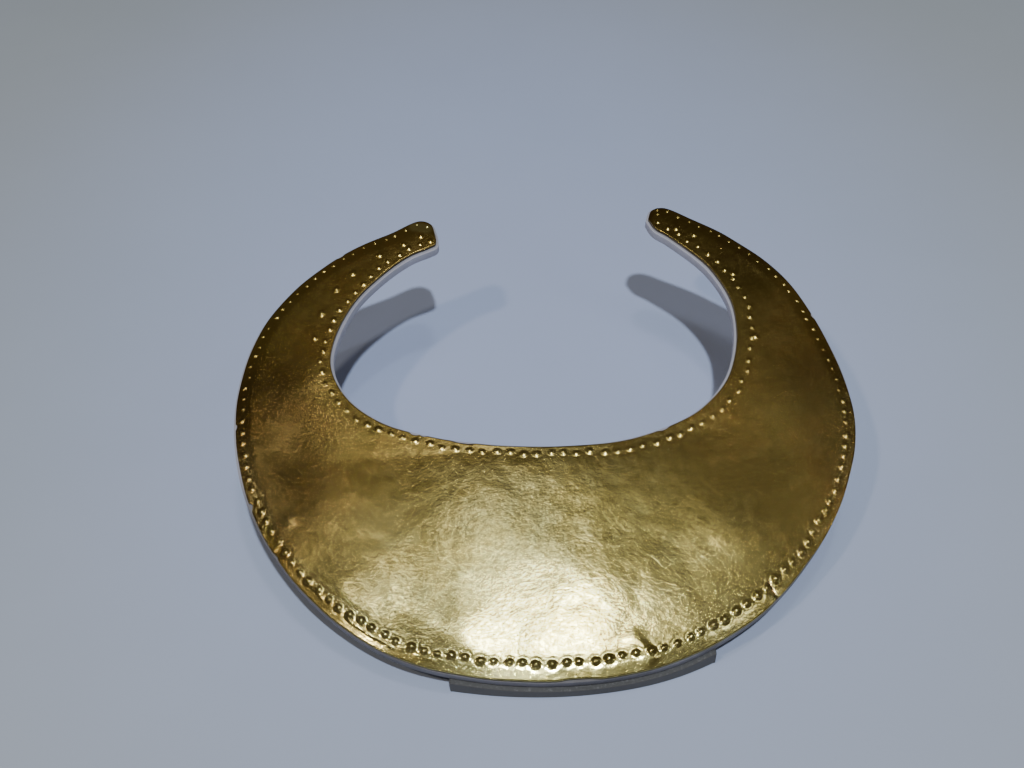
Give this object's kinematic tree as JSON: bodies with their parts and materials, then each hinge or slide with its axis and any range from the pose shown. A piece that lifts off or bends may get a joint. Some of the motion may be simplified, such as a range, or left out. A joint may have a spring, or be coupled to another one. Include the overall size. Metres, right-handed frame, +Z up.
{
  "type": "gold crescent collar on a display board",
  "caption": "Crescent neck collar of hammered sheet gold with a row of raised bosses along each edge, lying on a tilted crescent board with a low wedge foot.",
  "frame": {"origin": "on the ground under the middle of the whole stand's bounding box", "axes": "+Z up, +X to the right across the collar, +Y from the belly's front edge towards the horns"},
  "size_m": [0.2192, 0.1822, 0.057],
  "materials": {
    "hammered_gold": "hammered sheet gold, satin, with fine scratches and darker patches",
    "board_paint": "pale lilac-grey matt paint",
    "foot_paint": "mid grey matt paint"
  },
  "bodies": {
    "root": {"gold_collar": "hammered_gold", "backing_board": "board_paint", "mount_foot": "foot_paint"}
  },
  "joints": []
}
